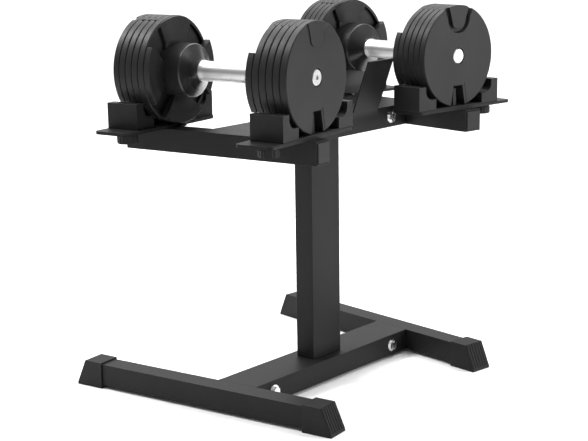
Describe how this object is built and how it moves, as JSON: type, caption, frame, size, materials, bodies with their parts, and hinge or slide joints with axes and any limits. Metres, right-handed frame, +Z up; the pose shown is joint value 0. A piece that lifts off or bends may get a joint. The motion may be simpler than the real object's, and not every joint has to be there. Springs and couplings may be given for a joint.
{
  "type": "adjustable dumbbell set with stand",
  "caption": "Adjustable dumbbells with a turning grip that draws locking rods through stacked round weights, resting in cradles on a floor stand with a tablet holder.",
  "frame": {"origin": "on the floor at the middle of the footprint", "axes": "+Z up, +Y from the front dumbbell to the rear one, +X away from the user; the dumbbells are splayed either side of +X"},
  "size_m": [0.5562, 0.7816, 0.688],
  "materials": {
    "frame_black": "fine-textured satin black powder coat",
    "plate_black": "satin black coated steel",
    "moulded_black": "moulded black plastic",
    "rubber_black": "matte black rubber",
    "cone_black": "high-gloss black",
    "grip_steel": "brushed satin steel",
    "bright_metal": "bright plated steel",
    "rod_steel": "ground bright steel",
    "barrel_steel": "machined steel"
  },
  "bodies": {
    "stand": {"base_beam": "frame_black", "front_foot_bar": "frame_black", "rear_foot_bar": "frame_black", "foot_caps": "rubber_black", "column": "frame_black", "top_beam": "frame_black", "front_arm": "frame_black", "rear_arm": "frame_black", "arm_plugs": "moulded_black", "tablet_holder": "frame_black", "beam_bolts": "bright_metal", "cradle_screws": "bright_metal", "front_left_tray": "frame_black", "front_right_tray": "frame_black", "rear_left_tray": "frame_black", "rear_right_tray": "frame_black", "front_left_cradle": "moulded_black", "front_right_cradle": "moulded_black", "rear_left_cradle": "moulded_black", "rear_right_cradle": "moulded_black", "clamp_knobs": "moulded_black", "clamp_studs": "bright_metal"},
    "front_dumbbell": {"front_left_plate_1": "plate_black", "front_left_plate_2": "plate_black", "front_left_plate_3": "plate_black", "front_left_plate_4": "plate_black", "front_left_plate_5": "plate_black", "front_right_plate_1": "plate_black", "front_right_plate_2": "plate_black", "front_right_plate_3": "plate_black", "front_right_plate_4": "plate_black", "front_right_plate_5": "plate_black", "front_left_housing": "plate_black", "front_right_housing": "plate_black", "front_left_cone": "cone_black", "front_right_cone": "cone_black"},
    "front_grip_core": {"front_grip": "grip_steel", "front_drive_barrel": "barrel_steel"},
    "front_left_lock_rod": {"front_left_rod": "rod_steel"},
    "front_right_lock_rod": {"front_right_rod": "rod_steel"},
    "front_lock": {"front_lock_pin": "rod_steel"},
    "rear_dumbbell": {"rear_left_plate_1": "plate_black", "rear_left_plate_2": "plate_black", "rear_left_plate_3": "plate_black", "rear_left_plate_4": "plate_black", "rear_left_plate_5": "plate_black", "rear_right_plate_1": "plate_black", "rear_right_plate_2": "plate_black", "rear_right_plate_3": "plate_black", "rear_right_plate_4": "plate_black", "rear_right_plate_5": "plate_black", "rear_left_housing": "plate_black", "rear_right_housing": "plate_black", "rear_left_cone": "cone_black", "rear_right_cone": "cone_black"},
    "rear_grip_core": {"rear_grip": "grip_steel", "rear_drive_barrel": "barrel_steel"},
    "rear_left_lock_rod": {"rear_left_rod": "rod_steel"},
    "rear_right_lock_rod": {"rear_right_rod": "rod_steel"},
    "rear_lock": {"rear_lock_pin": "rod_steel"}
  },
  "joints": [
    {"name": "front_lift", "type": "slide", "parent": "stand", "child": "front_dumbbell", "axis": [0, 0, 1], "range_m": [0, 0.25]},
    {"name": "front_grip_turn", "type": "hinge", "parent": "front_dumbbell", "child": "front_grip_core", "pos_m": [0.0516, -0.22616, 0.5955], "axis": [0.991, 0.134, 0], "range_deg": [-337.5, 0]},
    {"name": "front_left_rod_slide", "type": "slide", "parent": "front_dumbbell", "child": "front_left_lock_rod", "axis": [-0.991, -0.134, 0], "range_m": [-0.0661, 0]},
    {"name": "front_right_rod_slide", "type": "slide", "parent": "front_dumbbell", "child": "front_right_lock_rod", "axis": [0.991, 0.134, 0], "range_m": [-0.0661, 0]},
    {"name": "front_lock_press", "type": "slide", "parent": "front_dumbbell", "child": "front_lock", "axis": [0, 0, 1], "range_m": [0, 0.004], "stiffness_N_per_m": 400, "springref_m": -0.002},
    {"name": "rear_lift", "type": "slide", "parent": "stand", "child": "rear_dumbbell", "axis": [0, 0, 1], "range_m": [0, 0.25]},
    {"name": "rear_grip_turn", "type": "hinge", "parent": "rear_dumbbell", "child": "rear_grip_core", "pos_m": [0.0516, 0.22616, 0.5955], "axis": [0.991, -0.134, 0], "range_deg": [-337.5, 0]},
    {"name": "rear_left_rod_slide", "type": "slide", "parent": "rear_dumbbell", "child": "rear_left_lock_rod", "axis": [-0.991, 0.134, 0], "range_m": [-0.0661, 0]},
    {"name": "rear_right_rod_slide", "type": "slide", "parent": "rear_dumbbell", "child": "rear_right_lock_rod", "axis": [0.991, -0.134, 0], "range_m": [-0.0661, 0]},
    {"name": "rear_lock_press", "type": "slide", "parent": "rear_dumbbell", "child": "rear_lock", "axis": [0, 0, 1], "range_m": [0, 0.004], "stiffness_N_per_m": 400, "springref_m": -0.002}
  ],
  "couplings": [
    {"joint": "front_left_rod_slide", "follows": "front_grip_turn", "m_per_rad": 0.011204},
    {"joint": "front_right_rod_slide", "follows": "front_grip_turn", "m_per_rad": 0.011204},
    {"joint": "rear_left_rod_slide", "follows": "rear_grip_turn", "m_per_rad": 0.011204},
    {"joint": "rear_right_rod_slide", "follows": "rear_grip_turn", "m_per_rad": 0.011204}
  ]
}
